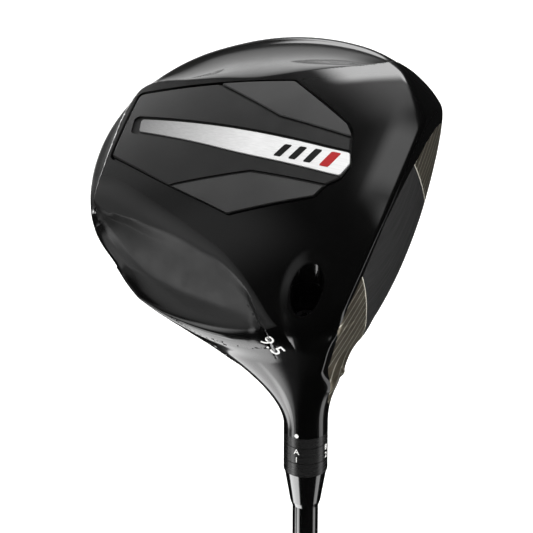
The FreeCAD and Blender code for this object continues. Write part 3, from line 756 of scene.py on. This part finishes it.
# ---- finishes ----
class Finish:
    """Small builder for one procedural material."""

    def __init__(self, name):
        self.material = bpy.data.materials.new(name)
        self.material.use_nodes = True
        self.nodes = self.material.node_tree.nodes
        self.links = self.material.node_tree.links
        self.shader = self.nodes["Principled BSDF"]
        self.place = self.nodes.new("ShaderNodeTexCoord").outputs["Object"]

    def put(self, socket, value):
        if isinstance(value, bpy.types.NodeSocket):
            self.links.new(value, socket)
        else:
            socket.default_value = value

    def set(self, **inputs):
        for key, value in inputs.items():
            self.put(self.shader.inputs[key.replace("_", " ")], value)
        return self

    def math(self, operation, *values, clamp=False):
        node = self.nodes.new("ShaderNodeMath")
        node.operation = operation
        node.use_clamp = clamp
        for socket, value in zip(node.inputs, values):
            self.put(socket, value)
        return node.outputs[0]

    def stretched(self, scale):
        node = self.nodes.new("ShaderNodeMapping")
        self.links.new(self.place, node.inputs["Vector"])
        node.inputs["Scale"].default_value = scale
        return node.outputs[0]

    def noise(self, scale, detail=3.0, vector=None, rough=0.5):
        node = self.nodes.new("ShaderNodeTexNoise")
        self.put(node.inputs["Vector"], vector or self.place)
        node.inputs["Scale"].default_value = scale
        node.inputs["Detail"].default_value = detail
        node.inputs["Roughness"].default_value = rough
        return node.outputs["Fac"]

    def spread(self, value, low, high, from_low=0.3, from_high=0.7):
        node = self.nodes.new("ShaderNodeMapRange")
        for key, number in (("Value", value), ("From Min", from_low), ("From Max", from_high),
                            ("To Min", low), ("To Max", high)):
            self.put(node.inputs[key], number)
        return node.outputs["Result"]

    def blend(self, factor, a, b):
        node = self.nodes.new("ShaderNodeMix")
        node.data_type = "RGBA"
        for key, value in ((0, factor), (6, a), (7, b)):
            self.put(node.inputs[key], value)
        return node.outputs[2]

    def bump(self, height, distance, strength=1.0):
        node = self.nodes.new("ShaderNodeBump")
        self.put(node.inputs["Height"], height)
        node.inputs["Distance"].default_value = distance
        node.inputs["Strength"].default_value = strength
        self.links.new(node.outputs["Normal"], self.shader.inputs["Normal"])
        return self

    def row_axis(self, which):
        """One coordinate of the piece in metres."""
        node = self.nodes.new("ShaderNodeSeparateXYZ")
        self.links.new(self.place, node.inputs[0])
        return node.outputs[which]

    def head_place(self):
        """The piece's x, y and z in the head's frame, in millimetres."""
        x_row, y_row, z_row = (self.row_axis(i) for i in range(3))
        drop = self.math("SUBTRACT", z_row, CLUB_LENGTH * MM)
        along, down = SIN_LIE / MM, COS_LIE / MM
        x = self.math("MULTIPLY_ADD", y_row, along, self.math("MULTIPLY", drop, down))
        z = self.math("SUBTRACT", self.math("MULTIPLY", y_row, down), self.math("MULTIPLY", drop, along))
        return x, self.math("MULTIPLY", x_row, 1 / MM), z


def grey(value, warm=0.0):
    return (value * (1 + warm), value, value * (1 - warm), 1.0)


def gloss_paint(name, shade, rough, coat_rough, warm=0.0, coat_ior=1.5, satin=False):
    """Clear-coated paint; satin leaves the leaf on the heel's flank with a matt lacquer."""
    f = Finish(name)
    cloud = f.noise(35.0, 4.0)
    f.set(Base_Color=f.blend(f.spread(cloud, 0.0, 1.0), grey(shade, warm), grey(shade * 1.35, warm)),
          Roughness=f.spread(f.noise(160.0), rough * 0.9, rough * 1.12),
          Specular_IOR_Level=0.12, Coat_Weight=1.0, Coat_Roughness=coat_rough, Coat_IOR=coat_ior)
    f.bump(f.noise(900.0, 2.0), 0.000004, 0.6)
    if satin:
        leaf = flank_leaf(f)
        f.set(Coat_Weight=f.math("MULTIPLY_ADD", leaf, -1.0, 1.0),
              Base_Color=f.blend(leaf, grey(shade, warm), grey(SATIN_SHADE)),
              Metallic=f.math("MULTIPLY", leaf, SATIN_METAL))
    return f.material


def flank_leaf(f):
    """The same leaf as flank_lens, one inside it."""
    x, y, z = f.head_place()

    def edge(start, middle, back, front):
        past = f.math("ADD", y, middle)
        rear = f.math("POWER", f.math("MINIMUM", past, 0.0), 2.0)
        fore = f.math("POWER", f.math("MAXIMUM", past, 0.0), 2.0)
        return f.math("MULTIPLY_ADD", rear, back, f.math("MULTIPLY_ADD", fore, front, start))

    low, high = edge(*LEAF_LOW), edge(*LEAF_HIGH)
    inside = f.math("MINIMUM", f.math("SUBTRACT", z, low), f.math("SUBTRACT", high, z))
    leaf = f.math("MULTIPLY_ADD", inside, 0.6, 0.5, clamp=True)
    return f.math("MULTIPLY", leaf, f.math("MULTIPLY_ADD", x, -0.25, LEAF_END / 4.0, clamp=True))


def moulded(name, shade, rough, grain, depth=0.00002):
    f = Finish(name)
    cloud = f.noise(60.0, 4.0)
    f.set(Base_Color=f.blend(f.spread(cloud, 0.0, 1.0), grey(shade * 0.85), grey(shade * 1.15)),
          Roughness=f.spread(f.noise(200.0), rough * 0.9, rough * 1.1))
    f.bump(f.noise(grain, 3.0), depth, 0.8)
    return f.material


def brushed(name, colour, rough, stretch, metal=1.0, dark=0.8, depth=0.000008):
    f = Finish(name)
    lines = f.noise(1.0, 4.0, f.stretched(stretch), 0.6)
    low = tuple(c * dark for c in colour[:3]) + (1.0,)
    f.set(Base_Color=f.blend(f.spread(lines, 0.0, 1.0), low, colour), Metallic=metal,
          Roughness=f.spread(f.noise(1.0, 3.0, f.stretched([c * 0.6 for c in stretch])),
                             rough * 0.8, rough * 1.25))
    f.bump(lines, depth, 0.7)
    return f.material


def face_finish():
    """Dark woven middle between bronze flanks, parted by two pale arcs, with fine score lines."""
    f = Finish("face_finish")
    x, _, z = f.head_place()
    toe_arc = f.math("MULTIPLY_ADD", z, 0.21, 46.1)
    bend = f.math("POWER", f.math("SUBTRACT", z, 21.0), 2.0)
    heel_arc = f.math("MULTIPLY_ADD", bend, -0.0035, 4.3)
    past_toe = f.math("SUBTRACT", x, toe_arc)
    past_heel = f.math("SUBTRACT", heel_arc, x)
    outside = f.math("MAXIMUM", past_toe, past_heel)
    flank = f.math("MULTIPLY_ADD", outside, 8.0, 0.5, clamp=True)
    arc = f.math("LESS_THAN", f.math("ABSOLUTE", outside), 0.28)
    score = None
    for height in SCORE_LINES:
        line = f.math("LESS_THAN", f.math("ABSOLUTE", f.math("SUBTRACT", z, float(height))), 0.3)
        score = line if score is None else f.math("MAXIMUM", score, line)
    score = f.math("MULTIPLY", score, flank)
    rows = f.math("SINE", f.math("MULTIPLY", z, 9.0))
    columns = f.math("SINE", f.math("MULTIPLY", x, 5.2))
    weave = f.spread(f.math("MULTIPLY", rows, columns), 0.0, 1.0, -0.6, 0.6)
    streaks = f.noise(1.0, 4.0, f.stretched((3000.0, 60.0, 60.0)))
    middle = f.blend(weave, grey(0.018), grey(0.055))
    bronze = f.blend(f.spread(streaks, 0.0, 1.0), (0.17, 0.145, 0.105, 1), (0.32, 0.285, 0.22, 1))
    colour = f.blend(flank, middle, bronze)
    colour = f.blend(f.math("MAXIMUM", arc, score), colour, (0.86, 0.82, 0.70, 1))
    f.set(Base_Color=colour, Metallic=f.math("MULTIPLY_ADD", flank, 0.5, 0.4),
          Roughness=f.spread(streaks, 0.28, 0.42), Coat_Weight=0.3, Coat_Roughness=0.12)
    f.bump(f.math("SUBTRACT", f.math("MULTIPLY", weave, 0.4), score), 0.00004, 0.5)
    return f.material


def strip_satin_and_painted_sheen():
    """Satin metal with painted sheen: its colour fades from grey at the tail to near white at the front, a
    painted highlight in place of the light along the strip.
    """
    f = Finish("strip_satin_and_painted_sheen")
    along = f.row_axis(0)
    lines = f.noise(1.0, 3.0, f.stretched((40.0, 2500.0, 2500.0)))
    # painted highlight: the colour brightens towards the front to stand in for the light on the strip
    bright = f.spread(along, 0.13, 0.60, -0.084, -0.036)
    node = f.nodes.new("ShaderNodeCombineColor")
    for key in range(3):
        f.put(node.inputs[key], f.math("MULTIPLY", bright, f.spread(lines, 0.9, 1.06)))
    f.set(Base_Color=node.outputs[0], Metallic=0.25, Roughness=f.spread(f.noise(300.0), 0.3, 0.42),
          Coat_Weight=0.4, Coat_Roughness=0.1)
    f.bump(lines, 0.000006, 0.6)
    return f.material


def ink(name, colour):
    f = Finish(name)
    speck = f.noise(1500.0, 2.0)
    worn = tuple(c * 0.9 for c in colour[:3]) + (1.0,)
    f.set(Base_Color=f.blend(f.spread(speck, 0.0, 1.0), colour, worn),
          Roughness=f.spread(f.noise(400.0), 0.35, 0.5))
    f.bump(speck, 0.000003, 0.5)
    return f.material


def rubber_grip(name):
    """Rubber with rings of small crossed cuts, broken by plain rings that repeat along it."""
    f = Finish(name)
    x, y, z = (f.row_axis(i) for i in range(3))
    around = f.math("ARCTAN2", y, x)
    turns, rise = f.math("MULTIPLY", around, 20.0), f.math("MULTIPLY", z, 1100.0)
    one = f.math("SINE", f.math("ADD", turns, rise))
    two = f.math("SINE", f.math("SUBTRACT", turns, rise))
    cuts = f.spread(f.math("MAXIMUM", one, two), 0.0, 1.0, 0.86, 0.99)
    band = f.spread(f.math("SINE", f.math("MULTIPLY", z, 95.0)), 0.0, 1.0, -0.5, -0.3)
    cuts = f.math("MULTIPLY", cuts, band)
    cloud = f.noise(90.0, 4.0)
    f.set(Base_Color=f.blend(f.spread(cloud, 0.0, 1.0), grey(0.014), grey(0.026)),
          Roughness=f.spread(f.noise(300.0), 0.55, 0.7))
    f.bump(f.math("SUBTRACT", f.math("MULTIPLY", f.noise(2500.0), 0.15), cuts), 0.0005, 0.7)
    return f.material


# ---- build ----
shell, crown_cap, face_insert = build_head()
sole_cover, toe_facet, heel_facet, centre_strip = build_sole()

black = gloss_paint("head_gloss", 0.0008, 0.32, 0.035, satin=True)
finishes = {
    "gloss_head": black,
    "face": face_finish(),
    "crown": gloss_paint("crown_gloss", 0.0008, 0.30, 0.03),
    "panel": moulded("panel_satin", 0.011, 0.42, 1600.0, 0.000010),
    "inlay": moulded("inlay_satin", 0.026, 0.46, 1900.0, 0.000012),
    "strip": strip_satin_and_painted_sheen(),
    "weight": brushed("weight_oxide", grey(0.09), 0.38, (700.0, 700.0, 700.0)),
    "screw": brushed("screw_steel", grey(0.32), 0.3, (500.0, 500.0, 2500.0)),
    "nylon": moulded("nylon_white", 0.55, 0.5, 900.0),
    "adapter": brushed("adapter_black", grey(0.012), 0.26, (300.0, 300.0, 3000.0), 0.3, depth=0.000002),
    "ferrule": gloss_paint("ferrule_black", 0.0012, 0.22, 0.04, coat_ior=1.8),
    "shaft": gloss_paint("shaft_paint", 0.0012, 0.24, 0.04, coat_ior=1.8),
    "brass": brushed("tip_brass", (0.55, 0.38, 0.16, 1), 0.32, (300.0, 300.0, 4000.0)),
    "tape": moulded("tape_paper", 0.60, 0.8, 500.0),
    "grip": rubber_grip("grip_rubber"),
}

pieces = [(shell, "gloss_head", "head_body"), (crown_cap, "crown", "crown_shell"),
          (face_insert, "face", "face_plate"), (sole_cover, "panel", "sole_panel"),
          (toe_facet, "inlay", "toe_inlay"), (heel_facet, "inlay", "heel_inlay"),
          (centre_strip, "strip", "badge_strip")]
for piece, slot, node in pieces:
    piece.data.materials.clear()
    piece.data.materials.append(finishes[slot])
    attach(piece, "head")
    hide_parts(node)

white_ink = ink("print_white", (0.80, 0.80, 0.78, 1))
black_ink = ink("print_black", (0.004, 0.004, 0.004, 1))
red_ink = ink("print_red", (0.26, 0.002, 0.004, 1))


def add_print(obj, material, body):
    obj.data.materials.clear()
    obj.data.materials.append(material)
    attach(obj, body)


for index, (front, back, low, high, material) in enumerate(MARK_BARS):
    bar = bar_shape("mark_bar_%d" % index,
                    [(low, back), (high, back + MARK_LEAN), (high, front + MARK_LEAN), (low, front)],
                    MARK_LIFT, 0.09)
    add_print(bar, {"black": black_ink, "red": red_ink}[material], "head")

add_print(skin_label("loft_number", text_shape("9.5", 6.6), LOFT_SPOT, LOFT_READS, 0.25),
          white_ink, "head")
dot_spot = AXIS * DOT_STATION - HOSEL_RADIUS * np.array([SIN_LIE, 0, COS_LIE])
add_print(skin_label("hosel_dot", disc_shape(0.75), dot_spot, (0, 1, 0)), white_ink, "head")
SOUTH, EAST = -math.pi / 2, 0.0
for name, text, station, azimuth, body, slot in (
        ("ring_a", "A", RING_TEXT, SOUTH, "ring", "adapter"),
        ("ring_b", "B", RING_TEXT, EAST, "ring", "adapter"),
        ("sleeve_1", "1", SLEEVE_TEXT, SOUTH, "shaft_assembly", "adapter"),
        ("sleeve_2", "2", SLEEVE_TEXT, EAST, "shaft_assembly", "adapter")):
    label = barrel_label(name, text_shape(text, LETTER_SIZE), station, azimuth, HOSEL_RADIUS)
    add_print(label, white_ink, body)

slots = {entry["node"]: entry["material_slot"] for entry in frame["record"]["subparts"]}
for name, node in frame["nodes"].items():
    finish = finishes[slots[name]]
    if node.material_slots:
        for place in node.material_slots:
            place.material = finish
    else:
        node.data.materials.append(finish)


# ---- stage, light and camera ----
def build_floor():
    bm = bmesh.new()
    bmesh.ops.create_grid(bm, x_segments=8, y_segments=8, size=14.0)
    mesh = bpy.data.meshes.new("floor")
    bm.to_mesh(mesh)
    bm.free()
    floor = bpy.data.objects.new("floor", mesh)
    bpy.context.collection.objects.link(floor)
    f = Finish("floor_paper")
    f.set(Base_Color=f.blend(f.spread(f.noise(3.0), 0.0, 1.0), grey(0.90), grey(0.93)), Roughness=0.9,
          Emission_Color=grey(1.0), Emission_Strength=0.30)
    floor.data.materials.append(f.material)
    floor.visible_glossy = False
    return floor


build_floor()


def area_light(name, place, aim, size, power):
    light = bpy.data.lights.new(name, "AREA")
    light.shape = "RECTANGLE"
    light.size, light.size_y = size
    light.energy = power
    lamp = bpy.data.objects.new(name, light)
    lamp.location = place
    lamp.rotation_euler = (Vector(aim) - Vector(place)).to_track_quat("-Z", "Y").to_euler()
    lamp.visible_glossy = False
    bpy.context.collection.objects.link(lamp)


area_light("overhead", (0.0, -0.5, 6.5), (0, 0, 0), (9.0, 9.0), 900.0)
area_light("face_fill", (3.0, -0.6, 0.7), (0, 0, 1.1), (1.5, 1.5), 90.0)


def build_world():
    """Studio seen in reflections: a dim room with soft boxes; plain white straight behind."""
    world = bpy.data.worlds.new("studio")
    bpy.context.scene.world = world
    world.use_nodes = True
    nodes, links = world.node_tree.nodes, world.node_tree.links
    nodes.clear()
    way = nodes.new("ShaderNodeTexCoord").outputs["Generated"]

    def put(socket, value):
        if isinstance(value, bpy.types.NodeSocket):
            links.new(value, socket)
        else:
            socket.default_value = value

    def combine(operation, *values, clamp=False):
        node = nodes.new("ShaderNodeMath")
        node.operation = operation
        node.use_clamp = clamp
        for socket, value in zip(node.inputs, values):
            put(socket, value)
        return node.outputs[0]

    def dot(direction):
        node = nodes.new("ShaderNodeVectorMath")
        node.operation = "DOT_PRODUCT"
        put(node.inputs[0], way)
        node.inputs[1].default_value = direction
        return node.outputs["Value"]

    def edge(value, half, soft):
        """One inside the half width, falling smoothly to nothing over the soft edge."""
        node = nodes.new("ShaderNodeMapRange")
        node.interpolation_type = "SMOOTHSTEP"
        for key, number in (("Value", combine("ABSOLUTE", value)), ("From Min", half),
                            ("From Max", half + soft), ("To Min", 1.0), ("To Max", 0.0)):
            put(node.inputs[key], number)
        return node.outputs["Result"]

    total = None
    for centre, half, soft, turn, strength in SOFT_BOXES:
        azimuth, height = math.radians(centre[0]), math.radians(centre[1])
        forward = Vector((math.cos(azimuth) * math.cos(height), math.sin(azimuth) * math.cos(height),
                          math.sin(height)))
        side = Vector((-math.sin(azimuth), math.cos(azimuth), 0.0))
        side = Matrix.Rotation(math.radians(turn), 3, forward) @ side
        up = forward.cross(side)
        ahead = combine("MAXIMUM", dot(forward), 0.001)
        glow = combine("MULTIPLY", edge(combine("DIVIDE", dot(side), ahead), half[0], soft[0]),
                       edge(combine("DIVIDE", dot(up), ahead), half[1], soft[1]))
        glow = combine("MULTIPLY", combine("MULTIPLY", glow, strength),
                       combine("GREATER_THAN", dot(forward), 0.001))
        total = glow if total is None else combine("ADD", total, glow)
    rise = combine("MULTIPLY_ADD", dot((0, 0, 1)), ROOM_RISE, ROOM_GREY, clamp=True)
    total = combine("ADD", total, rise)
    path = nodes.new("ShaderNodeLightPath").outputs["Is Camera Ray"]
    seen = nodes.new("ShaderNodeMix")
    seen.data_type = "FLOAT"
    put(seen.inputs[0], path)
    put(seen.inputs[2], total)
    seen.inputs[3].default_value = 1.0
    background = nodes.new("ShaderNodeBackground")
    background.inputs["Color"].default_value = (1, 1, 1, 1)
    links.new(seen.outputs[0], background.inputs["Strength"])
    output = nodes.new("ShaderNodeOutputWorld")
    links.new(background.outputs[0], output.inputs["Surface"])


build_world()


def build_camera():
    """Level, over the sole, from the heel and face side."""
    turn, height = math.radians(25.4), math.radians(28.0)
    back = Vector((math.sin(turn) * math.cos(height), -math.cos(turn) * math.cos(height), math.sin(height)))
    right = Vector((math.cos(turn), math.sin(turn), 0.0))
    up = back.cross(right)
    data = bpy.data.cameras.new("camera")
    data.lens = 226.6
    data.sensor_width = 36.0
    camera = bpy.data.objects.new("camera", data)
    camera.matrix_world = Matrix.Translation(
        Vector((0, 0, 1.0897)) + back * 1.1 - right * 0.01285 + up * 0.05623) @ Matrix(
        (right, up, back)).transposed().to_4x4()
    bpy.context.collection.objects.link(camera)
    bpy.context.scene.camera = camera


build_camera()
bpy.context.scene.view_settings.view_transform = "Standard"
